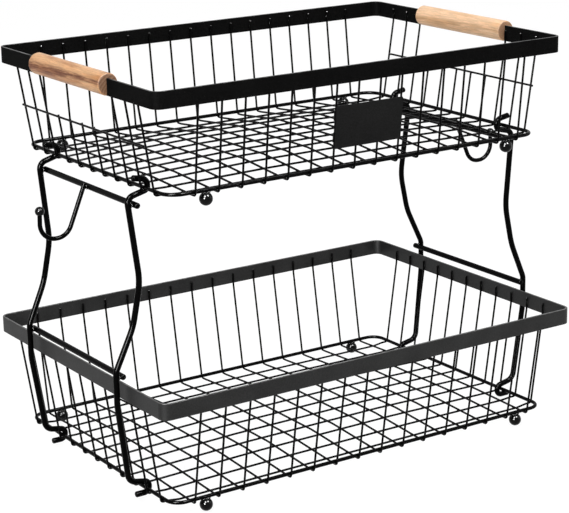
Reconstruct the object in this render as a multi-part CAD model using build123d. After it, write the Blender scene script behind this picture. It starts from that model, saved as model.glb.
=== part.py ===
from build123d import *
from dataclasses import dataclass
import math
import os

# Two-tier wire basket: a lower basket on ball feet, two bent-rod side frames hooked round its base
# ring, and an upper basket whose base ring lies in the frames' top hooks.
# Millimetres. +Z is up, the front faces -Y, and the origin is on the floor under the middle.

# Wire, rod and strip stock
mesh_wire = 1.8
ring_wire = 3.2
frame_rod = 5.0
hanger_wire = 3.8
band_thickness = 2.0
band_height = 14.0
band_edge_round = 0.4

# Clearances
weld_gap = 0.02
hook_seat_gap = 0.3
grip_gap = 0.1
label_gap = 0.3
bore_gap = 0.03
cut_overrun = 5.0

# Lower basket: rims are measured outside, base rings on their centre line, and margins from a ring's
# centre line to the outermost wire
lower_rim_length = 419.5
lower_rim_width = 288.5
lower_rim_rise = 93.8
lower_ring_length = 385.2
lower_ring_width = 251.4
lower_cross_margin = 18.6
lower_long_margin = 16.2
lower_ring_corner = 12.0

# Upper basket
upper_rim_length = 403.0
upper_rim_width = 267.2
upper_rim_rise = 85.2
upper_ring_length = 369.4
upper_ring_width = 241.0
upper_cross_margin = 22.7
upper_long_margin = 17.5
upper_ring_corner = 14.0
tier_spacing = 251.6

# Both baskets
rim_corner_radius = 8.0
cross_wire_count = 16
long_wire_count = 11
wire_top_drop = 4.4
base_hem = 4.0
camber_bend_radius = 30.0
lower_camber = 4.3
upper_camber = 5.8
camber_cross_share = 0.45
camber_long_share = 0.36
camber_end_share = 0.38
rim_bend_radius = 12.0
rim_bend_drop = 1.0

# Ball feet, under the long sides of the base rings
foot_radius = 5.5
foot_flat_radius = 1.8
foot_drop = 6.7

# Hand openings in the upper basket's short sides
short_wire_count = 5
opening_wire_rise = 38.0
opening_wire_overhang = 0.2
short_wire_overhang = 0.9

# Wooden grips
grip_diameter = 18.0
grip_length = 120.0
grip_end_round = 1.4

# Side frames: reaches are outwards from the base ring that the point belongs to, and bows are how far
# a rod's level stands out from the place of its bottom hook, along the side
rod_far_offset = 78.0
rod_near_offset = 70.0
near_hook_bow = 4.6
near_shoulder_bow = 3.2
waist_bow = 4.0
far_knee_bow = 4.0
near_knee_bow = 1.0
rod_end_round = 1.0
upper_tail_reach = 7.8
upper_tail_rise = 7.6
upper_tail_bend_share = 0.7
upper_hook_rise = 5.2
upper_hook_inset = 5.6
seat_bend_share = 0.47
seat_slope = 14.0
shoulder_reach = 13.2
shoulder_radius = 6.8
waist_reach = 6.6
waist_drop = 76.0
waist_radius = 60.0
flare_reach = 14.2
flare_drop = 112.0
flare_radius = 60.0
knee_rise = 10.7
knee_radius = 12.0
shin_drop = 17.8
shin_radius = 40.0
heel_reach = 13.7
heel_radius = 8.5
heel_slope = 11.0
heel_bend_share = 0.51
lower_hook_inset = 4.6
lower_hook_drop = 5.3
lower_tail_bend_share = 0.54
lower_tail_reach = 8.0
rim_side_gap = 3.9

# Crossbars of the side frames
crossbar_long_overhang = 8.0
crossbar_short_overhang = 5.0
crossbar_end_round = 1.6
upper_crossbar_drop = 13.4
lower_crossbar_rise = 6.6

# Hanging hooks below the upper crossbars
hanger_lean = 23.0
hanger_top_rise = 3.0
hanger_depth = 38.8
hanger_reach = 46.0
hanger_tip_rise = 23.5
hanger_radius = 13.8
hanger_tip_draw = 0.8
hanger_ball_radius = 3.9
hanger_ball_depth = 2.6

# Label plate, clipped to two wires of the upper basket's front
label_width = 66.0
label_height = 35.8
label_thickness = 0.8
label_corner_radius = 1.0
label_rise = 35.2
label_wire_steps = 1.5
clip_thickness = 0.6
clip_foot = 3.0
clip_lip = 0.6
clip_height = 8.0
clip_spacing = 18.0

wire_offset = ring_wire / 2 + weld_gap + mesh_wire / 2
foot_centre_height = math.sqrt(foot_radius**2 - foot_flat_radius**2)
lower_ring_height = foot_centre_height + foot_drop
upper_ring_height = lower_ring_height + tier_spacing


@dataclass
class Tier:
    """One basket's driving sizes, with its base ring's centre line at ring_height."""

    name: str
    rim_length: float
    rim_width: float
    rim_top: float
    ring_length: float
    ring_width: float
    ring_height: float
    ring_corner: float
    cross_margin: float
    long_margin: float
    camber: float

    @property
    def rim_bottom(self):
        return self.rim_top - band_height

    @property
    def cross_pitch(self):
        return (self.ring_length - 2 * self.cross_margin) / (cross_wire_count - 1)

    @property
    def long_pitch(self):
        return (self.ring_width - 2 * self.long_margin) / (long_wire_count - 1)


lower = Tier(
    "lower", lower_rim_length, lower_rim_width, lower_ring_height + lower_rim_rise,
    lower_ring_length, lower_ring_width, lower_ring_height, lower_ring_corner,
    lower_cross_margin, lower_long_margin, lower_camber,
)
upper = Tier(
    "upper", upper_rim_length, upper_rim_width, upper_ring_height + upper_rim_rise,
    upper_ring_length, upper_ring_width, upper_ring_height, upper_ring_corner,
    upper_cross_margin, upper_long_margin, upper_camber,
)


def swept_rod(path, diameter):
    """A round rod along a path of lines and arcs."""
    return sweep(Plane(origin=path @ 0, z_dir=path % 0) * Circle(diameter / 2), path=path)


def round_ends(rod, radius):
    """The rod with the rims of its two cut ends rounded."""
    return fillet(rod.faces().filter_by(GeomType.PLANE).edges(), radius)


def straight_bar(start, end, diameter, radius):
    """A straight round bar with rounded ends."""
    return round_ends(swept_rod(Line(start, end), diameter), radius)


def centred(count, pitch):
    """Places of count copies at a pitch, centred on zero."""
    return [(i - (count - 1) / 2) * pitch for i in range(count)]


def wall_top(half_rim):
    """Where a wire's centre lies against the inner face of the band."""
    return half_rim - band_thickness - weld_gap - mesh_wire / 2


def wall_lean(tier, half_ring, half_rim):
    """Angle from the vertical, in radians, of a wall wire that touches the ring's outer side."""
    run = wall_top(half_rim) - half_ring
    rise = tier.rim_bottom - rim_bend_drop - tier.ring_height
    return math.acos(wire_offset / math.hypot(run, rise)) - math.atan2(rise, run)


def wall_reach(tier, half_ring, half_rim, rise):
    """Distance from the middle to a wall wire's centre at a rise above the base ring."""
    lean = wall_lean(tier, half_ring, half_rim)
    return half_ring + wire_offset / math.cos(lean) + rise * math.tan(lean)


def wall_profile(tier, half_ring, half_rim, top):
    """Points (out, up) of one leg of a basket wire, from its base corner to its top end."""
    foot = (wall_reach(tier, half_ring, half_rim, -wire_offset), tier.ring_height - wire_offset)
    if top < tier.rim_bottom - rim_bend_drop:
        return [foot, (wall_reach(tier, half_ring, half_rim, top - tier.ring_height), top)]
    bend = (wall_top(half_rim), tier.rim_bottom - rim_bend_drop)
    return [foot, bend, (wall_top(half_rim), top)]


def slope_share(place, start, end):
    """How far a place lies on the way from start to end, held between 0 and 1."""
    return min(max((place - start) / (end - start), 0), 1)


def base_level(tier, x, y):
    """Height of the cross wires' centres over the floor in the cambered base."""
    across = slope_share(abs(y), tier.ring_width / 2 - base_hem, tier.ring_width / 2 * camber_cross_share)
    fall = slope_share(abs(x), tier.ring_length / 2 * camber_long_share, tier.ring_length / 2)
    along = 1 - fall * (1 - camber_end_share)
    return tier.ring_height - wire_offset + tier.camber * across * along


def basket_wire(profile, base, place):
    """A wire down one wall, over the base and up the other; place maps (out, up) to a point."""
    half = base + profile
    points = [place(-out, up) for out, up in reversed(half)] + [place(out, up) for out, up in half]
    radii = [rim_bend_radius] * (len(profile) - 2) + [wire_offset] + [camber_bend_radius] * len(base)
    return swept_rod(FilletPolyline(*points, radius=radii + radii[::-1]), mesh_wire)


def cross_wires(tier):
    """Wires that run from the front wall under the base ring to the back wall."""
    profile = wall_profile(tier, tier.ring_width / 2, tier.rim_width / 2, tier.rim_top - wire_top_drop)
    outs = (tier.ring_width / 2 * camber_cross_share, tier.ring_width / 2 - base_hem)
    return Compound([
        basket_wire(
            profile,
            [(out, base_level(tier, x, out)) for out in outs],
            lambda out, up: (x, out, up),
        )
        for x in centred(cross_wire_count, tier.cross_pitch)
    ])


def long_wires(tier, places, top):
    """Wires that run from the left wall under the base ring and the cross wires to the right wall."""
    profile = wall_profile(tier, tier.ring_length / 2, tier.rim_length / 2, top)
    outer_cross = tier.cross_pitch * (cross_wire_count - 1) / 2
    outs = (tier.ring_length / 2 * camber_long_share, outer_cross + base_hem)
    wires = []
    for y in places:
        base = [(out, base_level(tier, out, y) - mesh_wire - weld_gap) for out in outs]
        base.append((tier.ring_length / 2 - base_hem, tier.ring_height - wire_offset))
        wires.append(basket_wire(profile, base, lambda out, up: (out, y, up)))
    return Compound(wires)


def rim_band(tier):
    """The flat strip round the rim, bent at the corners."""
    outside = RectangleRounded(tier.rim_length, tier.rim_width, rim_corner_radius)
    inside = RectangleRounded(
        tier.rim_length - 2 * band_thickness,
        tier.rim_width - 2 * band_thickness,
        rim_corner_radius - band_thickness,
    )
    band = Pos(0, 0, tier.rim_bottom) * extrude(outside - inside, band_height)
    return fillet(band.faces().filter_by(Axis.Z).edges(), band_edge_round)


def base_ring(tier):
    """The thick wire ring that the grid is welded to."""
    outline = Pos(0, 0, tier.ring_height) * RectangleRounded(
        tier.ring_length, tier.ring_width, tier.ring_corner
    )
    return swept_rod(outline.wire(), ring_wire)


def ball_feet(tier):
    """Four balls under the long sides of the base ring, between the outer two cross wires."""
    middle = tier.cross_pitch * (cross_wire_count / 2 - 1)
    floor = tier.ring_height - foot_drop - foot_centre_height
    feet = []
    for x in (-middle, middle):
        for y in (-tier.ring_width / 2, tier.ring_width / 2):
            ball = Pos(x, y, tier.ring_height - foot_drop) * Sphere(foot_radius)
            seat = Pos(x, y, tier.ring_height) * Rot(0, 90, 0) * Cylinder(
                ring_wire / 2 + weld_gap, foot_radius * 2 + cut_overrun
            )
            under = Pos(x, y, floor) * Box(
                foot_radius * 2, foot_radius * 2, cut_overrun, align=(Align.CENTER, Align.CENTER, Align.MAX)
            )
            feet.append(ball - seat - under)
    return Compound(feet)


def opening_wire(side):
    """The level wire below a hand opening, outside the wall's wires."""
    half_ring, half_rim = upper.ring_length / 2, upper.rim_length / 2
    lean = wall_lean(upper, half_ring, half_rim)
    out = wall_reach(upper, half_ring, half_rim, opening_wire_rise) + (mesh_wire + weld_gap) / math.cos(lean)
    z = upper.ring_height + opening_wire_rise
    y = upper.long_pitch * (long_wire_count - 1) / 2 + opening_wire_overhang
    return swept_rod(Line((side * out, -y, z), (side * out, y, z)), mesh_wire)


def handle_grip(side):
    """A round wooden grip, slotted from below so that the band runs through it."""
    x = side * (upper.rim_length - band_thickness) / 2
    grip = Rot(90, 0, 0) * Cylinder(grip_diameter / 2, grip_length)
    grip = fillet(grip.edges().filter_by(GeomType.CIRCLE), grip_end_round)
    slot = Box(
        band_thickness + 2 * grip_gap,
        grip_length + cut_overrun,
        band_height + grip_gap + cut_overrun,
        align=(Align.CENTER, Align.CENTER, Align.MAX),
    )
    grip = Pos(x, 0, upper.rim_bottom + grip_diameter / 2) * grip
    return grip - Pos(x, 0, upper.rim_top + grip_gap) * slot


def seat_drop():
    """Distance between the centre lines of a base ring and the hook leg that bears on it."""
    return ring_wire / 2 + hook_seat_gap + frame_rod / 2


def seat_level(reach):
    """Height of the top hooks' sloping seat, on its centre line at a reach from the upper base ring."""
    slope = math.radians(seat_slope)
    return upper.ring_height - seat_drop() / math.cos(slope) - reach * math.tan(slope)


def heel_level(reach):
    """Height of the bottom hooks' sloping leg, on its centre line at a reach from the lower base ring."""
    slope = math.radians(heel_slope)
    return lower.ring_height + seat_drop() / math.cos(slope) + reach * math.tan(slope)


def knee_x():
    """Centre line of the side rods beside the lower rim."""
    return lower.rim_length / 2 + rim_side_gap + frame_rod / 2


def side_rod(offset, side, hook_bow, shoulder_bow, knee_bow):
    """A side rod of the right frame: top hook, S-shaped rod and bottom hook, bowed to its side."""
    top_x, top_z = upper.ring_length / 2, upper.ring_height
    base_x, base_z = lower.ring_length / 2, lower.ring_height
    upper_leg = top_z + upper_hook_rise - seat_level(-upper_hook_inset)
    lower_leg = heel_level(-lower_hook_inset) - base_z + lower_hook_drop
    outline = [
        (top_x + upper_tail_reach, hook_bow, top_z + upper_tail_rise),
        (top_x - upper_hook_inset, hook_bow, top_z + upper_hook_rise),
        (top_x - upper_hook_inset, hook_bow, seat_level(-upper_hook_inset)),
        (top_x + shoulder_reach, shoulder_bow, seat_level(shoulder_reach)),
        (top_x + waist_reach, waist_bow, top_z - waist_drop),
        (top_x + flare_reach, waist_bow, top_z - flare_drop),
        (knee_x(), knee_bow, lower.rim_top + knee_rise),
        (knee_x(), knee_bow, lower.rim_top - shin_drop),
        (base_x + heel_reach, 0, heel_level(heel_reach)),
        (base_x - lower_hook_inset, 0, heel_level(-lower_hook_inset)),
        (base_x - lower_hook_inset, 0, base_z - lower_hook_drop),
        (base_x + lower_tail_reach, 0, base_z - lower_hook_drop),
    ]
    radii = [
        upper_leg * upper_tail_bend_share, upper_leg * seat_bend_share, shoulder_radius,
        waist_radius, flare_radius, knee_radius, shin_radius,
        heel_radius, lower_leg * heel_bend_share, lower_leg * lower_tail_bend_share,
    ]
    points = [(x, side * (offset + bow), z) for x, bow, z in outline]
    path = FilletPolyline(*points, radius=radii)
    return round_ends(swept_rod(path, frame_rod), rod_end_round)


def crossbar(x, z):
    """A crossbar of the right frame, on the inner side of its two rods."""
    start = (x, -rod_near_offset - crossbar_short_overhang, z)
    end = (x, rod_far_offset + crossbar_long_overhang, z)
    return straight_bar(start, end, frame_rod, crossbar_end_round)


def upper_crossbar_place():
    """Centre (x, z) of the upper crossbar, against the rods just below their shoulders."""
    shoulder_drop = upper.ring_height - seat_level(shoulder_reach)
    lean = math.atan2(shoulder_reach - waist_reach, waist_drop - shoulder_drop)
    rod_x = shoulder_reach - (upper_crossbar_drop - shoulder_drop) * math.tan(lean)
    x = upper.ring_length / 2 + rod_x - (frame_rod + weld_gap) / math.cos(lean)
    return x, upper.ring_height - upper_crossbar_drop


def lower_crossbar_place():
    """Centre (x, z) of the lower crossbar, against the rods just above the lower rim."""
    return knee_x() - frame_rod - weld_gap, lower.rim_top + lower_crossbar_rise


def hanger_route():
    """Corners (x, z) of the hanging hook, which leaves the upper crossbar's outer side."""
    bar_x, bar_z = upper_crossbar_place()
    lean = math.radians(hanger_lean)
    apart = (frame_rod + hanger_wire) / 2 + weld_gap
    foot_x = bar_x + apart / math.cos(lean) + hanger_depth * math.tan(lean)
    top_x = bar_x + apart / math.cos(lean) - hanger_top_rise * math.tan(lean)
    tip_x = bar_x + hanger_reach
    return [
        (top_x, bar_z + hanger_top_rise),
        (foot_x, bar_z - hanger_depth),
        (tip_x, bar_z - hanger_depth),
        (tip_x - hanger_tip_draw, bar_z - hanger_depth + hanger_tip_rise),
    ]


def hanger_place():
    """Distance along Y of the right frame's hanging hook, midway between its rods."""
    return (rod_far_offset - rod_near_offset) / 2


def hanger():
    """The hanging hook of the right frame."""
    points = [(x, hanger_place(), z) for x, z in hanger_route()]
    return swept_rod(FilletPolyline(*points, radius=hanger_radius), hanger_wire)


def hanger_ball():
    """The ball on the hanging hook's tip, bored for the wire."""
    corner, tip = [Vector(x, hanger_place(), z) for x, z in hanger_route()[-2:]]
    along = (tip - corner).normalized()
    ball = Pos(*(tip + along * (hanger_ball_radius - hanger_ball_depth))) * Sphere(hanger_ball_radius)
    bore = Plane(origin=tip + along * bore_gap, z_dir=-along) * Circle(hanger_wire / 2 + bore_gap)
    return ball - extrude(bore, hanger_ball_radius * 2)


def label_plane(rise):
    """Plane on the front wall's wires, x along the wall and y up the wires, facing out."""
    half_ring, half_rim = upper.ring_width / 2, upper.rim_width / 2
    lean = wall_lean(upper, half_ring, half_rim)
    origin = (0, -wall_reach(upper, half_ring, half_rim, rise), upper.ring_height + rise)
    return Plane(origin=origin, x_dir=(1, 0, 0), z_dir=(0, -math.cos(lean), -math.sin(lean)))


def label_plate():
    """The flat plate in front of the wires."""
    face = RectangleRounded(label_width, label_height, label_corner_radius)
    plate = Pos(0, 0, mesh_wire / 2 + label_gap) * extrude(face, label_thickness)
    return label_plane(label_rise) * plate


def label_clips():
    """Four Z-shaped clips behind the plate, which reach outwards behind two of the wires."""
    wire_x = label_wire_steps * upper.cross_pitch
    near = mesh_wire / 2 + label_gap
    web = wire_x - near - clip_thickness
    outline = [
        (web - clip_foot, near),
        (web + clip_thickness, near),
        (web + clip_thickness, -near),
        (wire_x + clip_lip, -near),
        (wire_x + clip_lip, -near - clip_thickness),
        (web, -near - clip_thickness),
        (web, near - clip_thickness),
        (web - clip_foot, near - clip_thickness),
    ]
    clips = []
    for rise in (-clip_spacing / 2, clip_spacing / 2):
        for side in (-1, 1):
            points = [(side * x, rise - clip_height / 2, out) for x, out in outline]
            face = make_face(Polyline(*points, close=True))
            clips.append(label_plane(label_rise) * extrude(face, clip_height, dir=(0, 1, 0)))
    return Compound(clips)


def build_parts():
    """Every node of the rack by name."""
    parts = {}
    for tier in (lower, upper):
        parts[f"{tier.name}_rim_band"] = rim_band(tier)
        parts[f"{tier.name}_base_ring"] = base_ring(tier)
        parts[f"{tier.name}_cross_wires"] = cross_wires(tier)
        parts[f"{tier.name}_ball_feet"] = ball_feet(tier)
    parts["lower_long_wires"] = long_wires(
        lower, centred(long_wire_count, lower.long_pitch), lower.rim_top - wire_top_drop
    )
    places = centred(long_wire_count, upper.long_pitch)
    first = (long_wire_count - short_wire_count) // 2
    outer, middle = places[:first] + places[-first:], places[first:-first]
    parts["upper_long_wires"] = long_wires(upper, outer, upper.rim_top - wire_top_drop)
    short_top = upper.ring_height + opening_wire_rise + short_wire_overhang
    parts["upper_short_wires"] = long_wires(upper, middle, short_top)
    for name, side in (("left", -1), ("right", 1)):
        parts[f"{name}_opening_wire"] = opening_wire(side)
        parts[f"{name}_handle_grip"] = handle_grip(side)
    frame = {
        "upper_crossbar": crossbar(*upper_crossbar_place()),
        "lower_crossbar": crossbar(*lower_crossbar_place()),
        "hanging_hook": hanger(),
        "hook_ball": hanger_ball(),
    }
    far_rod = side_rod(rod_far_offset, 1, 0, 0, far_knee_bow)
    near_rod = side_rod(rod_near_offset, -1, near_hook_bow, near_shoulder_bow, near_knee_bow)
    half_turn = Rot(0, 0, 180)
    for piece, solid in frame.items():
        parts[f"right_{piece}"] = solid
        parts[f"left_{piece}"] = half_turn * solid
    parts["right_rear_rod"] = far_rod
    parts["right_front_rod"] = near_rod
    parts["left_front_rod"] = half_turn * far_rod
    parts["left_rear_rod"] = half_turn * near_rod
    parts["label_plate"] = label_plate()
    parts["label_clips"] = label_clips()
    return parts


if __name__ == "__main__":
    os.makedirs("parts", exist_ok=True)
    for node, shape in build_parts().items():
        export_step(shape, f"parts/{node}.step")
        print(node, len(shape.solids()), round(shape.volume, 1))
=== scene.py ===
"""Two-tier wire basket, dressed for a studio picture.

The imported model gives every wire, band, rod and grip in its true place. This script gives each of
them its finish, adds the weld marks that a basket of this kind shows from close by, and sets up the
floor, the lamps and the camera. Sizes in the classes are millimetres, and the scene is in metres.
"""
import logging
import math
from dataclasses import dataclass, field
from enum import Enum
from itertools import product
from typing import Iterable, Optional, Sequence

import bpy
from mathutils import Matrix, Vector


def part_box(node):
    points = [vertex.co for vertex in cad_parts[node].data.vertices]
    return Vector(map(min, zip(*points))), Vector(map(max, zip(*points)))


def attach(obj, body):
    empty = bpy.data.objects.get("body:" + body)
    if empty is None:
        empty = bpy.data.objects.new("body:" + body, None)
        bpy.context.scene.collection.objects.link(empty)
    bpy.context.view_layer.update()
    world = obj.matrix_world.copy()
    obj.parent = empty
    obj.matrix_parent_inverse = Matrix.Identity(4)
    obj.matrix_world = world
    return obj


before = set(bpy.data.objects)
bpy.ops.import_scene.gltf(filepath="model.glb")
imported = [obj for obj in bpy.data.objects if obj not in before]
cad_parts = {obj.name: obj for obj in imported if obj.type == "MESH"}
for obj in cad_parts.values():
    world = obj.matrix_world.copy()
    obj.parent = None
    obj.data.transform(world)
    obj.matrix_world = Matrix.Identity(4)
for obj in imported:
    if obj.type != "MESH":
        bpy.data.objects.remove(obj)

LOG = logging.getLogger("wire_basket")
MM = 0.001
WHITE = (1.0, 1.0, 1.0, 1.0)
# Distance between two rings of Blender's wave texture at a scale of 1.
WAVE_PERIOD = 0.314
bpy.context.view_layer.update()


def linear(hex_code: str) -> tuple[float, float, float, float]:
    """Turns an sRGB hex colour into the linear colour that Blender's sockets take.

    Args:
        hex_code: Six hex digits, with or without a leading #.

    Returns:
        Linear red, green and blue, and an alpha of 1.
    """
    digits = hex_code.lstrip("#")
    channels = [int(digits[i:i + 2], 16) / 255 for i in (0, 2, 4)]
    red, green, blue = [c / 12.92 if c <= 0.04045 else ((c + 0.055) / 1.055) ** 2.4 for c in channels]
    return red, green, blue, 1.0


def add_node(
    tree: bpy.types.NodeTree,
    kind: str,
    settings: Optional[dict] = None,
    inputs: Optional[dict] = None,
) -> bpy.types.Node:
    """Adds a node with its settings, and links or fills its inputs.

    Args:
        tree: The shader or geometry tree that the node goes into.
        kind: Blender's name of the node type.
        settings: Properties of the node by name.
        inputs: Values by socket name or index; an output socket is linked, anything else is set.

    Returns:
        The new node.
    """
    node = tree.nodes.new(kind)
    for name, value in (settings or {}).items():
        setattr(node, name, value)
    for key, value in (inputs or {}).items():
        socket = node.inputs[key]
        if isinstance(value, bpy.types.NodeSocket):
            tree.links.new(value, socket)
        else:
            socket.default_value = value
    return node


class Sheen(Enum):
    """How smooth a powder coat cures, as a roughness."""

    GLOSS = 0.12
    SOFT_SATIN = 0.44
    MATT = 0.62


@dataclass(frozen=True)
class PowderCoat:
    """Baked polyester powder on steel: deep black, closed, with a faint orange peel.

    The powder melts into a skin a tenth of a millimetre thick. Seen straight on it reflects very
    little, and near the outline it shows the white surround. It softens every highlight, and has a
    fine ripple, some dust-sized specks and, on the flat strip, a sandy grain. Where an upper edge
    is given, a lighter line is painted along it as a painted highlight, broken up by noise, and that
    edge is made glossier.
    """

    name: str
    colour: str
    sheen: Sheen
    peel_mm: float = 0.9
    peel_height_mm: float = 0.012
    specular: float = 0.08
    cloud_mm: float = 28.0
    speck_pitch_mm: float = 4.5
    speck_strength: float = 0.35
    grain_mm: float = 1.2
    grain_strength: float = 0.1
    speck_colour: str = "#343433"
    edge_height_mm: Optional[float] = None
    edge_highlight_colour: str = "#3c3c3c"
    edge_specular: float = 0.2
    edge_width_mm: float = 0.3
    highlight_break_mm: float = 11.0

    def build(self) -> bpy.types.Material:
        """Makes the material.

        Returns:
            A node material that reads Object coordinates.
        """
        material = bpy.data.materials.new(self.name)
        material.use_nodes = True
        tree = material.node_tree
        tree.nodes.clear()
        place = add_node(tree, "ShaderNodeTexCoord").outputs["Object"]
        cloud = add_node(
            tree,
            "ShaderNodeTexNoise",
            inputs={"Vector": place, "Scale": 1 / (self.cloud_mm * MM), "Detail": 3.0},
        ).outputs["Fac"]
        ripple = add_node(
            tree,
            "ShaderNodeTexNoise",
            inputs={"Vector": place, "Scale": 1 / (self.peel_mm * MM), "Detail": 2.0,
                    "Roughness": 0.45},
        )
        # Dust-sized specks in the cured powder are 0.1 to 0.3 mm; 0.5 mm is the finest that shows.
        specks = add_node(
            tree,
            "ShaderNodeTexVoronoi",
            {"feature": "F1"},
            {"Vector": place, "Scale": 1 / (self.speck_pitch_mm * MM), "Randomness": 1.0},
        )
        speck_mask = add_node(
            tree,
            "ShaderNodeMapRange",
            inputs={"Value": specks.outputs["Distance"], "From Min": 0.05, "From Max": 0.11,
                    "To Min": 1.0, "To Max": 0.0},
        )
        dark = Vector(linear(self.colour))
        thin, thick = (tuple(dark * share)[:3] + (1.0,) for share in (0.8, 1.25))
        tone = add_node(
            tree, "ShaderNodeMix", {"data_type": "RGBA"}, {0: cloud, 6: thin, 7: thick}
        ).outputs[2]
        # The strip's sandy grain is 0.2 mm on the real coat; about 1 mm is the finest that shows.
        sand = add_node(
            tree,
            "ShaderNodeTexNoise",
            inputs={"Vector": place, "Scale": 1 / (self.grain_mm * MM), "Detail": 2.0,
                    "Roughness": 0.7},
        )
        sand_level = add_node(
            tree,
            "ShaderNodeMapRange",
            inputs={"Value": sand.outputs["Fac"], "From Min": 0.3, "From Max": 0.7,
                    "To Min": 1 - self.grain_strength, "To Max": 1 + self.grain_strength},
        ).outputs["Result"]
        sanded = add_node(
            tree, "ShaderNodeVectorMath", {"operation": "SCALE"},
            {"Vector": tone, "Scale": sand_level},
        ).outputs["Vector"]
        speck_share = add_node(
            tree, "ShaderNodeMath", {"operation": "MULTIPLY"},
            {0: speck_mask.outputs["Result"], 1: self.speck_strength},
        ).outputs[0]
        colour = add_node(
            tree, "ShaderNodeMix", {"data_type": "RGBA"},
            {0: speck_share, 6: sanded, 7: linear(self.speck_colour)},
        ).outputs[2]
        rough = add_node(
            tree,
            "ShaderNodeMapRange",
            inputs={"Value": cloud, "From Min": 0.3, "From Max": 0.7,
                    "To Min": self.sheen.value - 0.05, "To Max": self.sheen.value + 0.07},
        ).outputs["Result"]
        specular = self.specular
        # Along the upper edge: a painted highlight in the colour, and a glossier coat.
        if self.edge_height_mm is not None:
            colour, rough, specular = self._painted_edge_highlight(tree, place, colour, rough)
        bump = add_node(
            tree,
            "ShaderNodeBump",
            inputs={"Height": ripple.outputs["Fac"], "Strength": 0.6,
                    "Distance": self.peel_height_mm * MM},
        )
        shader = add_node(
            tree,
            "ShaderNodeBsdfPrincipled",
            inputs={"Base Color": colour, "Roughness": rough, "Normal": bump.outputs["Normal"],
                    "IOR": 1.5, "Specular IOR Level": specular},
        )
        add_node(tree, "ShaderNodeOutputMaterial", inputs={"Surface": shader.outputs["BSDF"]})
        return material

    def _painted_edge_highlight(
        self,
        tree: bpy.types.NodeTree,
        place: bpy.types.NodeSocket,
        colour: bpy.types.NodeSocket,
        rough: bpy.types.NodeSocket,
    ) -> tuple[bpy.types.NodeSocket, bpy.types.NodeSocket, bpy.types.NodeSocket]:
        """Paints a lighter line along an upper edge as a painted highlight, and makes that edge
        glossier.

        Args:
            tree: The material's tree.
            place: Object coordinates.
            colour: Colour of the unworn coat.
            rough: Roughness of the unworn coat.

        Returns:
            The colour with the painted highlight, and the roughness and specular level of the glossier
            edge.
        """
        height = add_node(tree, "ShaderNodeSeparateXYZ", inputs={"Vector": place}).outputs["Z"]
        band = add_node(
            tree,
            "ShaderNodeMapRange",
            {"interpolation_type": "SMOOTHSTEP"},
            {"Value": height, "From Min": (self.edge_height_mm - self.edge_width_mm) * MM,
             "From Max": self.edge_height_mm * MM, "To Min": 0.0, "To Max": 1.0},
        ).outputs["Result"]
        highlight_break = add_node(
            tree,
            "ShaderNodeTexNoise",
            inputs={"Vector": place, "Scale": 1 / (self.highlight_break_mm * MM), "Detail": 6.0},
        ).outputs["Fac"]
        highlight_broken = add_node(
            tree,
            "ShaderNodeMapRange",
            inputs={"Value": highlight_break, "From Min": 0.35, "From Max": 0.65, "To Min": 0.25, "To Max": 1.0},
        ).outputs["Result"]
        highlight_share = add_node(
            tree, "ShaderNodeMath", {"operation": "MULTIPLY"}, {0: band, 1: highlight_broken}
        ).outputs[0]
        # Painted highlight: a lighter grey line along the top edge, broken up by noise.
        highlighted_colour = add_node(
            tree, "ShaderNodeMix", {"data_type": "RGBA"},
            {0: highlight_share, 6: colour, 7: linear(self.edge_highlight_colour)},
        ).outputs[2]
        edge_rough = add_node(
            tree, "ShaderNodeMix", {"data_type": "FLOAT"},
            {0: highlight_share, 2: rough, 3: self.sheen.value - 0.1},
        ).outputs[0]
        glossy_edge_specular = add_node(
            tree, "ShaderNodeMix", {"data_type": "FLOAT"},
            {0: highlight_share, 2: self.specular, 3: self.edge_specular},
        ).outputs[0]
        return highlighted_colour, edge_rough, glossy_edge_specular


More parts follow.
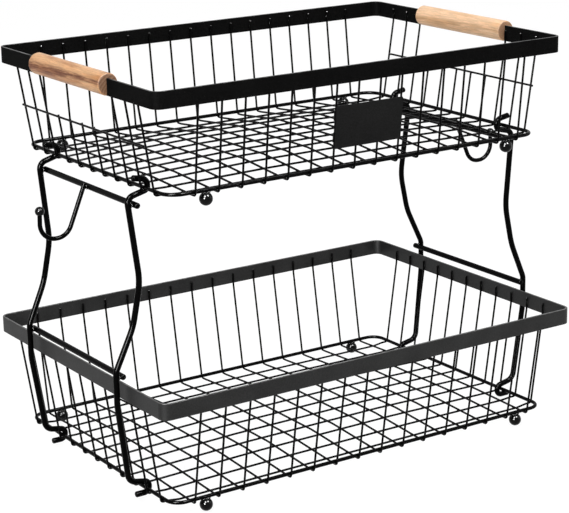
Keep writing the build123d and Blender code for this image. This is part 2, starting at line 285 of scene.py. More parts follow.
@dataclass(frozen=True)
class TurnedBeech:
    """Steamed beech, turned round, sanded and oiled.

    It has pale pink-brown wood, fine straight fibres, a slab of darker heartwood with ragged sides,
    and short dark ray flecks. The ends show darker, with rings, because end grain drinks more oil.
    The sanding leaves a fine nap of fibre ends, which pales the grip towards its outline.
    """

    name: str
    pale: str
    warm: str
    heart: str
    end_grain: str
    middle_mm: tuple[float, float, float]
    heart_strength: float
    heart_rise_mm: float = -1.2
    heart_half_mm: tuple[float, float] = (2.0, 4.2)
    heart_ragged_mm: float = 7.0
    length_mm: float = 120.0
    fibre_mm: tuple[float, float] = (1.2, 16.0)
    fleck_mm: tuple[float, float] = (0.5, 3.6)
    figure_mm: tuple[float, float] = (9.0, 70.0)
    ring_mm: float = 2.6
    pith_mm: tuple[float, float] = (11.0, -14.0)
    fleck_depth_mm: float = 0.05
    slant: float = 0.022
    nap: float = 0.3

    def build(self) -> bpy.types.Material:
        """Makes the material.

        Returns:
            A node material that reads Object coordinates, with the grain along Y.
        """
        material = bpy.data.materials.new(self.name)
        material.use_nodes = True
        tree = material.node_tree
        tree.nodes.clear()
        place = add_node(tree, "ShaderNodeTexCoord").outputs["Object"]
        centred = add_node(
            tree,
            "ShaderNodeMapping",
            {"vector_type": "POINT"},
            {"Vector": place, "Location": [-v * MM for v in self.middle_mm]},
        ).outputs["Vector"]
        turned = add_node(
            tree, "ShaderNodeMapping", {"vector_type": "POINT"},
            {"Vector": centred, "Rotation": (self.slant, 0.0, self.slant / 2)},
        ).outputs["Vector"]
        fibre = self._stretched(tree, turned, self.fibre_mm, 3.0)
        fleck = self._stretched(tree, turned, self.fleck_mm, 2.0)
        figure = self._stretched(tree, turned, self.figure_mm, 3.0)
        body = add_node(
            tree, "ShaderNodeMix", {"data_type": "RGBA"},
            {0: self._spread(tree, figure, 0.36, 0.64, 0.0, 1.0),
             6: linear(self.pale), 7: linear(self.warm)},
        ).outputs[2]
        slab = self._heartwood(tree, turned, figure, fibre)
        hearted = add_node(
            tree, "ShaderNodeMix", {"data_type": "RGBA"}, {0: slab, 6: body, 7: linear(self.heart)}
        ).outputs[2]
        fibred = add_node(
            tree, "ShaderNodeVectorMath", {"operation": "SCALE"},
            {"Vector": hearted, "Scale": self._spread(tree, fibre, 0.34, 0.66, 1.1, 0.84)},
        ).outputs["Vector"]
        fleck_mask = self._spread(tree, fleck, 0.57, 0.73, 0.0, 0.34)
        flecked = add_node(
            tree, "ShaderNodeMix", {"data_type": "RGBA"},
            {0: fleck_mask, 6: fibred, 7: linear(self.heart)},
        ).outputs[2]
        colour = self._ends(tree, turned, flecked, fleck)
        rough = self._spread(tree, fleck, 0.3, 0.7, 0.44, 0.6)
        bump = add_node(
            tree,
            "ShaderNodeBump",
            inputs={"Height": fleck_mask, "Strength": 0.5, "Distance": -self.fleck_depth_mm * MM},
        ).outputs["Normal"]
        shader = add_node(
            tree,
            "ShaderNodeBsdfPrincipled",
            inputs={"Base Color": colour, "Roughness": rough, "Normal": bump, "IOR": 1.5,
                    "Specular IOR Level": 0.12, "Sheen Weight": self.nap, "Sheen Roughness": 0.35},
        )
        add_node(tree, "ShaderNodeOutputMaterial", inputs={"Surface": shader.outputs["BSDF"]})
        return material

    @staticmethod
    def _spread(
        tree: bpy.types.NodeTree,
        value: bpy.types.NodeSocket,
        low: float,
        high: float,
        to_low: float,
        to_high: float,
    ) -> bpy.types.NodeSocket:
        """Maps a value from one range to another, held at both ends.

        Args:
            tree: The material's tree.
            value: The socket to map.
            low: Lower end of its range.
            high: Upper end of its range.
            to_low: What the lower end becomes.
            to_high: What the upper end becomes.

        Returns:
            The mapped value.
        """
        return add_node(
            tree,
            "ShaderNodeMapRange",
            {"interpolation_type": "SMOOTHSTEP"},
            {"Value": value, "From Min": low, "From Max": high, "To Min": to_low, "To Max": to_high},
        ).outputs["Result"]

    @staticmethod
    def _stretched(
        tree: bpy.types.NodeTree,
        place: bpy.types.NodeSocket,
        size_mm: tuple[float, float],
        detail: float,
    ) -> bpy.types.NodeSocket:
        """Noise drawn out along the grain.

        Args:
            tree: The material's tree.
            place: Centred coordinates, with the grain along Y.
            size_mm: Width and length of its marks.
            detail: Octaves of the noise.

        Returns:
            The noise, around 0.5.
        """
        across, along = (1 / (size * MM) for size in size_mm)
        drawn = add_node(
            tree, "ShaderNodeMapping", inputs={"Vector": place, "Scale": (across, along, across)}
        ).outputs["Vector"]
        return add_node(
            tree,
            "ShaderNodeTexNoise",
            inputs={"Vector": drawn, "Scale": 1.0, "Detail": detail, "Roughness": 0.6},
        ).outputs["Fac"]

    def _heartwood(
        self,
        tree: bpy.types.NodeTree,
        place: bpy.types.NodeSocket,
        figure: bpy.types.NodeSocket,
        fibre: bpy.types.NodeSocket,
    ) -> bpy.types.NodeSocket:
        """Marks the slab of heartwood, which widens towards the back end of the grip.

        Args:
            tree: The material's tree.
            place: Centred and slanted coordinates.
            figure: Broad noise that makes the slab's sides ragged.
            fibre: Fine noise that breaks up its colour.

        Returns:
            How much of the heartwood's colour shows.
        """
        parts = add_node(tree, "ShaderNodeSeparateXYZ", inputs={"Vector": place}).outputs
        narrow, wide = self.heart_half_mm
        reach = self.length_mm / 2 * MM
        half = self._spread(tree, parts["Y"], -reach, reach, narrow * MM, wide * MM)
        ragged, rise = self.heart_ragged_mm * MM, self.heart_rise_mm * MM
        swing = add_node(
            tree, "ShaderNodeMath", {"operation": "MULTIPLY_ADD"},
            {0: figure, 1: ragged, 2: -(ragged / 2 + rise)},
        ).outputs[0]
        swung = add_node(
            tree, "ShaderNodeMath", {"operation": "ADD"}, {0: parts["Z"], 1: swing}
        ).outputs[0]
        away = add_node(tree, "ShaderNodeMath", {"operation": "ABSOLUTE"}, {0: swung}).outputs[0]
        near = add_node(tree, "ShaderNodeMath", {"operation": "DIVIDE"}, {0: away, 1: half}).outputs[0]
        inside = self._spread(tree, near, 0.2, 1.3, self.heart_strength, 0.0)
        broken = self._spread(tree, fibre, 0.34, 0.62, 0.55, 1.0)
        return add_node(
            tree, "ShaderNodeMath", {"operation": "MULTIPLY"}, {0: inside, 1: broken}
        ).outputs[0]

    def _ends(
        self,
        tree: bpy.types.NodeTree,
        place: bpy.types.NodeSocket,
        side: bpy.types.NodeSocket,
        fleck: bpy.types.NodeSocket,
    ) -> bpy.types.NodeSocket:
        """Lays darker end grain with rings and pores on the two end faces.

        Args:
            tree: The material's tree.
            place: Centred and slanted coordinates.
            side: Colour of the turned side.
            fleck: Fine noise for the pores.

        Returns:
            The colour of the whole grip.
        """
        pith_x, pith_z = self.pith_mm
        about = add_node(
            tree, "ShaderNodeMapping",
            inputs={"Vector": place, "Location": (-pith_x * MM, 0.0, -pith_z * MM),
                    "Scale": (1.0, 0.02, 1.0)},
        ).outputs["Vector"]
        rings = add_node(
            tree,
            "ShaderNodeTexWave",
            {"wave_type": "RINGS", "rings_direction": "Y", "wave_profile": "SAW"},
            {"Vector": about, "Scale": WAVE_PERIOD / (self.ring_mm * MM), "Distortion": 0.8,
             "Detail": 2.0},
        ).outputs["Fac"]
        face = add_node(
            tree, "ShaderNodeMix", {"data_type": "RGBA"},
            {0: self._spread(tree, rings, 0.2, 0.95, 0.0, 0.55),
             6: linear(self.end_grain), 7: linear(self.heart)},
        ).outputs[2]
        pored = add_node(
            tree, "ShaderNodeVectorMath", {"operation": "SCALE"},
            {"Vector": face, "Scale": self._spread(tree, fleck, 0.4, 0.7, 1.05, 0.72)},
        ).outputs["Vector"]
        normal = add_node(
            tree, "ShaderNodeSeparateXYZ",
            inputs={"Vector": add_node(tree, "ShaderNodeNewGeometry").outputs["Normal"]},
        ).outputs["Y"]
        facing = add_node(tree, "ShaderNodeMath", {"operation": "ABSOLUTE"}, {0: normal}).outputs[0]
        return add_node(
            tree, "ShaderNodeMix", {"data_type": "RGBA"},
            {0: self._spread(tree, facing, 0.8, 0.98, 0.0, 1.0), 6: side, 7: pored},
        ).outputs[2]


@dataclass
class Spot:
    """One weld mark: its middle and three half sizes in millimetres, its turn in radians."""

    middle: tuple[float, float, float]
    half: tuple[float, float, float]
    turn: tuple[float, float, float] = (0.0, 0.0, 0.0)


@dataclass
class WeldMarks:
    """Weld nuggets and bead ripples, set on points by a geometry tree.

    Each mark is a rounded lump of few faces, because there are hundreds of them, and its size
    strays from the given one by up to the spread.
    """

    name: str
    body: str
    slot: str
    finish: bpy.types.Material
    seed: int
    spread: float = 0.12
    sides: int = 8
    rings: int = 6

    def tree(self) -> bpy.types.NodeTree:
        """Builds the tree that puts a rounded nugget on every point.

        Returns:
            A geometry tree with inputs Geometry, Sides, Rings, Spread, Seed and Finish.
        """
        tree = bpy.data.node_groups.new(f"{self.name}_tree", "GeometryNodeTree")
        for label, kind in {
            "Geometry": "Geometry", "Sides": "Int", "Rings": "Int", "Spread": "Float", "Seed": "Int",
            "Finish": "Material",
        }.items():
            tree.interface.new_socket(label, in_out="INPUT", socket_type=f"NodeSocket{kind}")
        tree.interface.new_socket("Geometry", in_out="OUTPUT", socket_type="NodeSocketGeometry")
        given = add_node(tree, "NodeGroupInput").outputs
        nugget = add_node(
            tree,
            "GeometryNodeMeshUVSphere",
            inputs={"Segments": given["Sides"], "Rings": given["Rings"], "Radius": 1.0},
        ).outputs["Mesh"]
        smooth = add_node(
            tree, "GeometryNodeSetShadeSmooth", inputs={"Geometry": nugget}
        ).outputs["Geometry"]
        half = add_node(
            tree, "GeometryNodeInputNamedAttribute", {"data_type": "FLOAT_VECTOR"}, {"Name": "half"}
        ).outputs["Attribute"]
        turn = add_node(
            tree, "GeometryNodeInputNamedAttribute", {"data_type": "FLOAT_VECTOR"}, {"Name": "turn"}
        ).outputs["Attribute"]
        least, most = (
            add_node(
                tree, "ShaderNodeMath", {"operation": operation}, {0: 1.0, 1: given["Spread"]}
            ).outputs[0]
            for operation in ("SUBTRACT", "ADD")
        )
        chance = add_node(
            tree, "FunctionNodeRandomValue", {"data_type": "FLOAT"},
            {"Seed": given["Seed"], 2: least, 3: most},
        ).outputs[1]
        size = add_node(
            tree, "ShaderNodeVectorMath", {"operation": "SCALE"}, {"Vector": half, "Scale": chance}
        ).outputs["Vector"]
        placed = add_node(
            tree,
            "GeometryNodeInstanceOnPoints",
            inputs={"Points": given["Geometry"], "Instance": smooth, "Rotation": turn, "Scale": size},
        ).outputs["Instances"]
        real = add_node(
            tree, "GeometryNodeRealizeInstances", inputs={"Geometry": placed}
        ).outputs["Geometry"]
        dressed = add_node(
            tree, "GeometryNodeSetMaterial", inputs={"Geometry": real, "Material": given["Finish"]}
        ).outputs["Geometry"]
        add_node(tree, "NodeGroupOutput", inputs={"Geometry": dressed})
        return tree

    def build(self, spots: Sequence[Spot]) -> bpy.types.Object:
        """Makes the marks as one plain mesh and sets it on its body.

        Args:
            spots: Where the marks lie, how they are turned and how large they are.

        Returns:
            The finished piece.
        """
        points = bpy.data.meshes.new(f"{self.name}_points")
        points.from_pydata([tuple(c * MM for c in spot.middle) for spot in spots], [], [])
        half = points.attributes.new("half", "FLOAT_VECTOR", "POINT")
        turn = points.attributes.new("turn", "FLOAT_VECTOR", "POINT")
        for index, spot in enumerate(spots):
            half.data[index].vector = [h * MM for h in spot.half]
            turn.data[index].vector = spot.turn
        carrier = bpy.data.objects.new(f"{self.name}_carrier", points)
        bpy.context.scene.collection.objects.link(carrier)
        tree = self.tree()
        modifier = carrier.modifiers.new("marks", "NODES")
        modifier.node_group = tree
        items = tree.interface.items_tree
        ids = {item.name: item.identifier for item in items if item.in_out == "INPUT"}
        values = {"Sides": self.sides, "Rings": self.rings, "Spread": self.spread, "Seed": self.seed,
                  "Finish": self.finish}
        for label, value in values.items():
            modifier[ids[label]] = value
        graph = bpy.context.evaluated_depsgraph_get()
        mesh = bpy.data.meshes.new_from_object(carrier.evaluated_get(graph))
        mesh.name = self.name
        bpy.data.objects.remove(carrier)
        for label in ("half", "turn"):
            if label in mesh.attributes:
                mesh.attributes.remove(mesh.attributes[label])
        piece = bpy.data.objects.new(self.name, mesh)
        bpy.context.scene.collection.objects.link(piece)
        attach(piece, self.body)
        LOG.info("%s: %d marks, %d faces, on %s", self.name, len(spots), len(mesh.polygons), self.body)
        return piece


@dataclass
class Basket:
    """One tier: the sizes that place its weld marks, and the finishes of its pieces.

    A nugget's sizes are half lengths: along a long side's ring or band, out from it and up. A
    ripple of a foot's collar lies beside the ring, and the collar has as many steps to each side.
    """

    name: str
    body: str
    rim_length: float
    rim_width: float
    rim_top: float
    ring_length: float
    ring_width: float
    ring_height: float
    cross_pitch: float
    long_pitch: float
    camber: float
    finishes: dict[str, bpy.types.Material]
    cross_count: int = 16
    long_count: int = 11
    mesh_wire: float = 1.8
    ring_wire: float = 3.2
    band_height: float = 14.0
    band_thickness: float = 2.0
    band_to_bend: float = 1.0
    hem: float = 4.0
    cross_share: float = 0.45
    long_share: float = 0.36
    end_share: float = 0.38
    top_drop: float = 4.4
    weld_gap: float = 0.02
    open_rows: int = 0
    open_rise: float = 38.0
    opening_nodes: tuple[str, ...] = ()
    grid_nugget: tuple[float, float, float] = (1.05, 1.05, 0.6)
    ring_nugget: tuple[float, float, float] = (1.7, 0.75, 0.75)
    ring_weld_angle: float = 50.0
    tip_bead: tuple[float, float, float] = (0.98, 0.98, 0.6)
    band_nugget: tuple[float, float, float] = (1.3, 0.6, 1.0)
    band_nugget_share: float = 0.62
    band_nugget_out: float = 0.45
    opening_nugget: tuple[float, float, float] = (0.6, 1.05, 1.05)
    foot_ripple: tuple[float, float, float] = (0.7, 0.7, 0.6)
    foot_ripple_pitch: float = 0.75
    foot_ripple_out: float = 1.25
    foot_ripple_rise: float = 0.1
    foot_ripple_steps: int = 4

    @property
    def under(self) -> float:
        """Distance between the centre lines of the ring and of a wire that touches it."""
        return (self.ring_wire + self.mesh_wire) / 2 + self.weld_gap

    @staticmethod
    def spread(count: int, pitch: float) -> list[float]:
        """Places of count wires at a pitch, centred on zero."""
        return [(i - (count - 1) / 2) * pitch for i in range(count)]

    @staticmethod
    def share(place: float, start: float, end: float) -> float:
        """How far a place lies on the way from start to end, held between 0 and 1."""
        return min(max((place - start) / (end - start), 0.0), 1.0)

    def level(self, x: float, y: float) -> float:
        """Height of the cross wires' centres in the cambered base.

        Args:
            x: Place along the basket, in millimetres from its middle.
            y: Place across the basket, in millimetres from its middle.

        Returns:
            Height above the floor, in millimetres.
        """
        half_length, half_width = self.ring_length / 2, self.ring_width / 2
        across = self.share(abs(y), half_width - self.hem, half_width * self.cross_share)
        fall = self.share(abs(x), half_length * self.long_share, half_length)
        along = 1 - fall * (1 - self.end_share)
        return self.ring_height - self.under + self.camber * across * along

    def wall_top(self, half_rim: float) -> float:
        """Distance from the middle to the centre of a wire that lies against the band."""
        return half_rim - self.band_thickness - self.weld_gap - self.mesh_wire / 2

    def lean(self, half_ring: float, half_rim: float) -> float:
        """Angle of a wall wire from the vertical, in radians."""
        run = self.wall_top(half_rim) - half_ring
        rise = self.rim_top - self.band_height - self.band_to_bend - self.ring_height
        return math.acos(self.under / math.hypot(run, rise)) - math.atan2(rise, run)

    def reach(self, half_ring: float, half_rim: float, rise: float) -> float:
        """Distance from the middle to a wall wire's centre at a rise above the ring."""
        lean = self.lean(half_ring, half_rim)
        return half_ring + self.under / math.cos(lean) + rise * math.tan(lean)

    def grid_marks(self) -> list[Spot]:
        """Marks where the wires of the base cross and are pressed into each other."""
        rows = self.spread(self.long_count, self.long_pitch)
        columns = self.spread(self.cross_count, self.cross_pitch)
        drop = (self.mesh_wire + self.weld_gap) / 2
        return [
            Spot((x, y, self.level(x, y) - drop), self.grid_nugget, (0.0, 0.0, math.radians(45)))
            for x in columns for y in rows
        ]

    def ring_marks(self) -> list[Spot]:
        """Marks where a wire bends round the ring and is welded to it."""
        spots = []
        down = math.radians(self.ring_weld_angle)
        out, z = (self.ring_wire / 2 * share for share in (math.cos(down), -math.sin(down)))
        z += self.ring_height
        for side in (-1, 1):
            for x in self.spread(self.cross_count, self.cross_pitch):
                spots.append(Spot((x, side * (self.ring_width / 2 + out), z), self.ring_nugget))
            for y in self.spread(self.long_count, self.long_pitch):
                place = (side * (self.ring_length / 2 + out), y, z)
                spots.append(Spot(place, self.turned(self.ring_nugget)))
        return spots

    @staticmethod
    def turned(half: tuple[float, float, float]) -> tuple[float, float, float]:
        """A mark's half sizes on a short side, where along and out change places."""
        return half[1], half[0], half[2]

    def band_rows(self) -> list[float]:
        """Places of the long wires that reach up to the band."""
        rows = self.spread(self.long_count, self.long_pitch)
        closed = (self.long_count - self.open_rows) // 2
        return rows[:closed] + rows[self.long_count - closed:] if self.open_rows else rows

    def tip_marks(self) -> list[Spot]:
        """Marks on the cut ends of the wires inside the band, where the coat pools; on the upper tier
        they carry a light grey painted highlight.
        """
        spots = []
        top = self.rim_top - self.top_drop
        at_y, at_x = self.wall_top(self.rim_width / 2), self.wall_top(self.rim_length / 2)
        for side in (-1, 1):
            for x in self.spread(self.cross_count, self.cross_pitch):
                spots.append(Spot((x, side * at_y, top), self.tip_bead))
            for y in self.band_rows():
                spots.append(Spot((side * at_x, y, top), self.tip_bead))
        return spots

    def band_marks(self) -> list[Spot]:
        """Marks on the inside of the band, halfway up the overlap with each wire."""
        spots = []
        middle = self.rim_top - self.band_height * self.band_nugget_share
        at_y, at_x = (
            self.wall_top(rim / 2) + self.band_nugget_out for rim in (self.rim_width, self.rim_length)
        )
        for side in (-1, 1):
            for x in self.spread(self.cross_count, self.cross_pitch):
                spots.append(Spot((x, side * at_y, middle), self.band_nugget))
            for y in self.band_rows():
                spots.append(Spot((side * at_x, y, middle), self.turned(self.band_nugget)))
        return spots

    def opening_marks(self) -> list[Spot]:
        """Marks where the level wire below a hand opening crosses the wall wires."""
        if not self.open_rows:
            return []
        half_ring, half_rim = self.ring_length / 2, self.rim_length / 2
        out = self.reach(half_ring, half_rim, self.open_rise) + self.mesh_wire / 2
        return [
            Spot((side * out, y, self.ring_height + self.open_rise), self.opening_nugget)
            for side in (-1, 1) for y in self.spread(self.long_count, self.long_pitch)
        ]

    def foot_marks(self) -> list[Spot]:
        """A collar of small marks where each ball foot joins the ring."""
        spots = []
        middle = self.cross_pitch * (self.cross_count / 2 - 1)
        z = self.ring_height - self.ring_wire / 2 + self.foot_ripple_rise
        steps = range(-self.foot_ripple_steps, self.foot_ripple_steps + 1)
        for x, y in product((-middle, middle), (-self.ring_width / 2, self.ring_width / 2)):
            for step, side in product(steps, (-1, 1)):
                place = (x + step * self.foot_ripple_pitch, y + side * self.foot_ripple_out, z)
                spots.append(Spot(place, self.foot_ripple))
        return spots

    def dress(self) -> None:
        """Gives the tier's nodes their finishes and adds its weld marks."""
        tier = self.name
        for node, finish in {
            f"{tier}_rim_band": self.finishes["band"],
            f"{tier}_base_ring": self.finishes["wire"],
            f"{tier}_cross_wires": self.finishes["wire"],
            f"{tier}_long_wires": self.finishes["wire"],
            f"{tier}_ball_feet": self.finishes["ball"],
            **{opening: self.finishes["wire"] for opening in self.opening_nodes},
        }.items():
            coat(node, finish)
        weld = self.finishes["weld"]
        WeldMarks(f"{tier}_grid_welds", self.body, "black_wire", weld, seed=11).build(self.grid_marks())
        WeldMarks(f"{tier}_ring_welds", self.body, "black_wire", weld, seed=23).build(self.ring_marks())
        WeldMarks(f"{tier}_band_welds", self.body, "black_band", weld, seed=37).build(
            self.band_marks() + self.opening_marks()
        )
        WeldMarks(f"{tier}_foot_welds", self.body, "black_ball", weld, seed=41).build(self.foot_marks())
        WeldMarks(f"{tier}_wire_tips", self.body, "black_wire", self.finishes["tip"], seed=59).build(
            self.tip_marks()
        )


def coat(node: str, finish: bpy.types.Material) -> None:
    """Gives every material slot of a CAD node one finish.

    Args:
        node: Name of the CAD node.
        finish: The material that goes into its slots.
    """
    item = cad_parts[node]
    if not item.material_slots:
        item.data.materials.append(finish)
    for place in item.material_slots:
        place.material = finish
    LOG.info("%s: coated with %s", node, finish.name)


@dataclass
class SideFrame:
    """One side frame: its finishes and the fillet welds at its crossbars and hanging hook.

    The rods stand at near and far from the middle, and at a crossbar they are bowed out by a
    little more, front rod first. A bar bead runs round the corner between rod and crossbar, and its
    three points are given by their distances from the crossing, along the bar and up.
    """

    name: str
    side: int
    finishes: dict[str, bpy.types.Material]
    near: float = 70.0
    far: float = 78.0
    rod: float = 5.0
    upper_bow: tuple[float, float] = (3.3, 0.5)
    lower_bow: tuple[float, float] = (1.0, 4.0)
    ripple: float = 0.55
    ripple_height_share: float = 0.8
    bar_bead: tuple[tuple[float, float], ...] = ((2.3, 0.2), (1.2, 1.2), (0.2, 2.3))
    bar_bead_half: float = 0.75
    hook_bead_out: float = 1.5
    hook_bead_reach: float = 1.6
    hook_bead_half: float = 0.7

    def place(self, x: float, y: float, z: float) -> tuple[float, float, float]:
        """Turns a place on the right frame into the same place on this frame."""
        return self.side * x, self.side * y, z

    def bead(
        self,
        start: tuple[float, float, float],
        end: tuple[float, float, float],
        width: float,
    ) -> list[Spot]:
        """A row of overlapping ripples from start to end, as a fillet weld shows.

        Args:
            start: First point of the bead on the right frame.
            end: Last point of the bead on the right frame.
            width: Half width of the bead.

        Returns:
            The ripples, placed on this frame.
        """
        first, last = Vector(start), Vector(end)
        count = max(int((last - first).length / self.ripple), 2)
        half = (width, width, width * self.ripple_height_share)
        return [Spot(self.place(*first.lerp(last, i / count)), half) for i in range(count + 1)]

    def bar_face(self, bar: str) -> tuple[float, float]:
        """Where a crossbar meets the rods outside it: its place out from the middle and its height.

        Args:
            bar: Name of the crossbar's node.

        Returns:
            Distance from the middle and height, in millimetres.
        """
        low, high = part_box(f"{self.name}_{bar}")
        return abs(low[0] + high[0]) / 2 / MM + self.rod / 2, (low[2] + high[2]) / 2 / MM

    def bar_marks(self, bar: str, y_places: Iterable[float]) -> list[Spot]:
        """Fillet welds on both sides of each rod where it touches a crossbar.

        Args:
            bar: Name of the crossbar's node.
            y_places: Where the rods cross it, on the right frame.

        Returns:
            The ripples of those welds.
        """
        x, z = self.bar_face(bar)
        spots = []
        for y, edge, rise in product(y_places, (-1, 1), (-1, 1)):
            away, corner, up = ((x, y + edge * along, z + rise * off) for along, off in self.bar_bead)
            spots += self.bead(away, corner, self.bar_bead_half)
            spots += self.bead(corner, up, self.bar_bead_half)
        return spots

    def hook_marks(self) -> list[Spot]:
        """Fillet welds on both sides of the hanging hook where it touches the upper crossbar."""
        x, z = self.bar_face("upper_crossbar")
        middle, reach = (self.far - self.near) / 2, self.hook_bead_reach
        spots = []
        for edge in (-1, 1):
            y = middle + edge * self.hook_bead_out
            spots += self.bead((x, y, z - reach), (x, y, z + reach), self.hook_bead_half)
        return spots

    def dress(self) -> None:
        """Gives the frame's nodes their finishes and adds its welds."""
        for piece in ("front_rod", "rear_rod", "upper_crossbar", "lower_crossbar", "hanging_hook"):
            coat(f"{self.name}_{piece}", self.finishes["rod"])
        coat(f"{self.name}_hook_ball", self.finishes["ball"])
        spots = []
        for bar, bow in {"upper_crossbar": self.upper_bow, "lower_crossbar": self.lower_bow}.items():
            spots += self.bar_marks(bar, (-self.near - bow[0], self.far + bow[1]))
        WeldMarks(
            f"{self.name}_frame_welds", f"{self.name}_frame", "black_rod", self.finishes["weld"],
            seed=53, spread=0.18,
        ).build(spots + self.hook_marks())


@dataclass
class Grips:
    """The two turned wooden grips, each cut from its own piece of beech."""

    left: bpy.types.Material
    right: bpy.types.Material

    def dress(self) -> None:
        """Gives each grip its own wood."""
        coat("left_handle_grip", self.left)
        coat("right_handle_grip", self.right)


@dataclass
class Label:
    """The blank plate and its clips."""

    plate: bpy.types.Material
    clips: bpy.types.Material

    def dress(self) -> None:
        """Gives the plate and its clips their finishes."""
        coat("label_plate", self.plate)
        coat("label_clips", self.clips)


@dataclass(frozen=True)
class Softbox:
    """One soft rectangular lamp, with place and size in metres and power in watts.

    A lamp that is only for shine shows in highlights alone and adds no light to colours.
    """

    name: str
    place: tuple[float, float, float]
    size: tuple[float, float]
    power: float
    shine_only: bool = False

    def build(self, aim: tuple[float, float, float]) -> bpy.types.Object:
        """Adds the lamp.

        Args:
            aim: The point it faces, in metres.

        Returns:
            The lamp's object.
        """
        data = bpy.data.lights.new(self.name, "AREA")
        data.shape = "RECTANGLE"
        data.size, data.size_y = self.size
        data.energy = self.power
        lamp = bpy.data.objects.new(self.name, data)
        lamp.location = self.place
        lamp.rotation_euler = (Vector(aim) - Vector(self.place)).to_track_quat("-Z", "Y").to_euler()
        lamp.visible_camera = False
        lamp.visible_diffuse = not self.shine_only
        bpy.context.scene.collection.objects.link(lamp)
        return lamp


@dataclass
class Studio:
    """A white floor, soft lamps and a white surround.

    Three softboxes light the colours. Three panels give the round black rods and balls their thin
    lines and small bright spots.
    """

    lamps: tuple[Softbox, ...] = (
        Softbox("key_softbox", (-1.5, -1.1, 1.5), (0.55, 0.9), 20.0),
        Softbox("fill_softbox", (1.7, -1.2, 0.9), (1.2, 1.0), 7.0),
        Softbox("top_softbox", (0.1, 0.3, 1.9), (1.6, 1.2), 15.0),
        Softbox("left_shine", (-1.2, -0.97, 2.0), (0.8, 0.8), 340.0, shine_only=True),
        Softbox("right_shine", (0.55, -1.3, 2.1), (0.8, 0.8), 340.0, shine_only=True),
        Softbox("low_shine", (-1.95, -1.2, 0.85), (0.6, 0.8), 340.0, shine_only=True),
    )
    aim: tuple[float, float, float] = (0.0, 0.0, 0.18)
    floor_half: float = 6.0
    paper: str = "#efefef"
    floor_share: float = 0.84
    floor_glow: float = 1.09
    surround: float = 0.5

    @staticmethod
    def shown(tree: bpy.types.NodeTree) -> bpy.types.NodeSocket:
        """Tells the rays that show the background from those that light the object.

        Args:
            tree: The tree of the floor's material or of the surround.

        Returns:
            1 for a camera, glossy or transmission ray, otherwise 0.
        """
        rays = add_node(tree, "ShaderNodeLightPath").outputs
        found = rays["Is Camera Ray"]
        for kind in ("Is Glossy Ray", "Is Transmission Ray"):
            found = add_node(
                tree, "ShaderNodeMath", {"operation": "MAXIMUM"}, {0: found, 1: rays[kind]}
            ).outputs[0]
        return found

    def floor(self) -> bpy.types.Object:
        """Makes the floor, which shows white but still takes a faint shadow.

        Returns:
            The floor's object.
        """
        mesh = bpy.data.meshes.new("studio_floor")
        h = self.floor_half
        mesh.from_pydata([(-h, -h, 0), (h, -h, 0), (h, h, 0), (-h, h, 0)], [], [(0, 1, 2, 3)])
        floor = bpy.data.objects.new("studio_floor", mesh)
        bpy.context.scene.collection.objects.link(floor)
        material = bpy.data.materials.new("white_paper_floor")
        material.use_nodes = True
        tree = material.node_tree
        tree.nodes.clear()
        paper = add_node(tree, "ShaderNodeBsdfDiffuse", inputs={"Color": linear(self.paper)})
        glow = add_node(
            tree, "ShaderNodeEmission", inputs={"Color": WHITE, "Strength": self.floor_glow}
        )
        share = add_node(
            tree, "ShaderNodeMath", {"operation": "MULTIPLY"},
            {0: self.shown(tree), 1: self.floor_share},
        ).outputs[0]
        mixed = add_node(
            tree, "ShaderNodeMixShader",
            inputs={0: share, 1: paper.outputs["BSDF"], 2: glow.outputs["Emission"]},
        )
        add_node(tree, "ShaderNodeOutputMaterial", inputs={"Surface": mixed.outputs["Shader"]})
        floor.data.materials.append(material)
        return floor

    def world(self) -> None:
        """Makes the surround: white where it is seen or reflected, softer where it lights."""
        world = bpy.data.worlds.new("white_surround")
        bpy.context.scene.world = world
        world.use_nodes = True
        tree = world.node_tree
        tree.nodes.clear()
        strength = add_node(
            tree, "ShaderNodeMapRange",
            inputs={"Value": self.shown(tree), "From Min": 0.0, "From Max": 1.0,
                    "To Min": self.surround, "To Max": 1.0},
        ).outputs["Result"]
        back = add_node(tree, "ShaderNodeBackground", inputs={"Color": WHITE, "Strength": strength})
        add_node(tree, "ShaderNodeOutputWorld", inputs={"Surface": back.outputs["Background"]})

    def build(self) -> None:
        """Builds floor, lamps and surround, and sets a plain view transform."""
        self.floor()
        self.world()
        for lamp in self.lamps:
            lamp.build(self.aim)
        bpy.context.scene.view_settings.view_transform = "Standard"


@dataclass
class ProductCamera:
    """The camera at the picture's angle. Angles are in degrees, lengths in millimetres."""

    azimuth: float = -33.49
    elevation: float = 15.91
    roll: float = -1.01
    lens: float = 121.53
    sensor: float = 36.0
    place: tuple[float, float, float] = (-900.0, -1361.4, 621.7)

    def build(self) -> bpy.types.Object:
        """Makes the camera the scene's own.

        Returns:
            The camera's object.
        """
        az, el, roll = (math.radians(a) for a in (self.azimuth, self.elevation, self.roll))
        back = Vector((math.sin(az) * math.cos(el), -math.cos(az) * math.cos(el), math.sin(el)))
        right = Vector((math.cos(az), math.sin(az), 0.0))
        up = back.cross(right)
        level = (
            right * math.cos(roll) + up * math.sin(roll),
            up * math.cos(roll) - right * math.sin(roll),
            back,
        )
        data = bpy.data.cameras.new("product_camera")
        data.lens = self.lens
        data.sensor_width = self.sensor
        data.sensor_fit = "HORIZONTAL"
        data.clip_start, data.clip_end = 0.05, 50.0
        camera = bpy.data.objects.new("product_camera", data)
        turn = Matrix(level).transposed().to_4x4()
        camera.matrix_world = Matrix.Translation(Vector(self.place) * MM) @ turn
        bpy.context.scene.collection.objects.link(camera)
        bpy.context.scene.camera = camera
        return camera


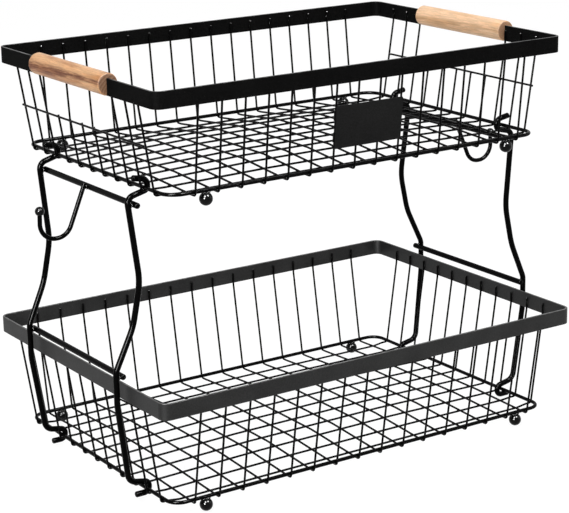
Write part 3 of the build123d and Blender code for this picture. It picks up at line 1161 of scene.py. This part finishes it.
@dataclass
class WireRack:
    """The whole rack, built piece by piece."""

    pieces: dict[str, Basket | SideFrame | Grips | Label] = field(default_factory=dict)

    def finishes(self) -> dict[str, bpy.types.Material]:
        """Makes each finish once.

        Returns:
            The materials by the part that wears them.
        """
        recipes: dict[str, PowderCoat | TurnedBeech] = {
            "wire": PowderCoat(
                "gloss_black_powder_coat_wire", "#050505", Sheen.GLOSS, peel_mm=0.8, specular=0.03
            ),
            # Both strips are the same black coat. The lower strip's lighter colour, stronger specular
            # and lighter edge line are painted light. The upper strip's darker colour and faint
            # specular are painted shade.
            "lower_band": PowderCoat(
                "satin_black_powder_coat_lower_strip_painted_lighter", "#1a1a1a", Sheen.SOFT_SATIN, specular=0.155,
                grain_strength=0.4, edge_height_mm=105.7, edge_highlight_colour="#5a5a5a",
            ),
            "upper_band": PowderCoat(
                "satin_black_powder_coat_upper_strip_painted_darker", "#101010", Sheen.SOFT_SATIN, specular=0.004,
                grain_strength=0.25, edge_height_mm=348.7,
            ),
            "rod": PowderCoat(
                "gloss_black_powder_coat_rod", "#040404", Sheen.GLOSS, peel_mm=1.0, specular=0.022
            ),
            "ball": PowderCoat(
                "gloss_black_powder_coat_ball", "#040404", Sheen.GLOSS, peel_mm=1.4, specular=0.1
            ),
            "weld": PowderCoat(
                "pooled_black_powder_coat_weld", "#0c0c0c", Sheen.GLOSS, peel_mm=0.6, specular=0.12
            ),
            # Painted highlight: the upper wire tips are light grey so that they show as bright dots.
            "upper_tip_painted_highlight": PowderCoat(
                "powder_coat_upper_wire_tip_painted_highlight", "#4f4f4f", Sheen.GLOSS, peel_mm=0.6, specular=0.25
            ),
            "plate": PowderCoat(
                "matt_black_coated_sheet", "#191919", Sheen.MATT, peel_mm=0.5, specular=0.02,
                grain_strength=0.3,
            ),
            "clip": PowderCoat(
                "matt_black_spring_steel_clip", "#121212", Sheen.SOFT_SATIN, peel_mm=0.7
            ),
            "left_grip": TurnedBeech(
                "oiled_turned_beech_left", "#d9a879", "#ae7440", "#6b3412", "#9d7759",
                middle_mm=(-200.5, 0.0, 343.7), heart_strength=1.0, heart_rise_mm=0.9,
                heart_half_mm=(2.0, 5.0),
            ),
            "right_grip": TurnedBeech(
                "oiled_turned_beech_right", "#edc6a0", "#dcae82", "#b98457", "#ac8464",
                middle_mm=(200.5, 0.0, 343.7), heart_strength=0.4, heart_rise_mm=0.2,
                heart_half_mm=(2.4, 1.6), pith_mm=(-13.0, 9.0),
            ),
        }
        return {part: recipe.build() for part, recipe in recipes.items()}

    def build(self) -> None:
        """Dresses every sub-assembly in order."""
        coats = self.finishes()
        shared = {part: coats[part] for part in ("wire", "ball", "weld", "rod")}
        self.pieces["lower"] = Basket(
            "lower", "lower_basket",
            rim_length=419.5, rim_width=288.5, rim_top=105.694,
            ring_length=385.2, ring_width=251.4, ring_height=11.897,
            cross_pitch=23.2, long_pitch=21.9, camber=4.3,
            finishes=shared | {"band": coats["lower_band"], "tip": coats["weld"]},
        )
        self.pieces["upper"] = Basket(
            "upper", "upper_basket",
            rim_length=403.0, rim_width=267.2, rim_top=348.697,
            ring_length=369.4, ring_width=241.0, ring_height=263.497,
            cross_pitch=21.6, long_pitch=20.6, camber=5.8,
            finishes=shared | {"band": coats["upper_band"], "tip": coats["upper_tip_painted_highlight"]},
            open_rows=5, opening_nodes=("upper_short_wires", "left_opening_wire", "right_opening_wire"),
        )
        self.pieces["left"] = SideFrame("left", -1, shared)
        self.pieces["right"] = SideFrame("right", 1, shared)
        self.pieces["grips"] = Grips(coats["left_grip"], coats["right_grip"])
        self.pieces["label"] = Label(coats["plate"], coats["clip"])
        for name, piece in self.pieces.items():
            piece.dress()
            LOG.info("%s: dressed", name)


def main() -> None:
    """Builds the rack, the studio and the camera in order."""
    logging.basicConfig(level=logging.INFO, format="%(name)s: %(message)s")
    WireRack().build()
    Studio().build()
    ProductCamera().build()


if __name__ == "__main__":
    main()
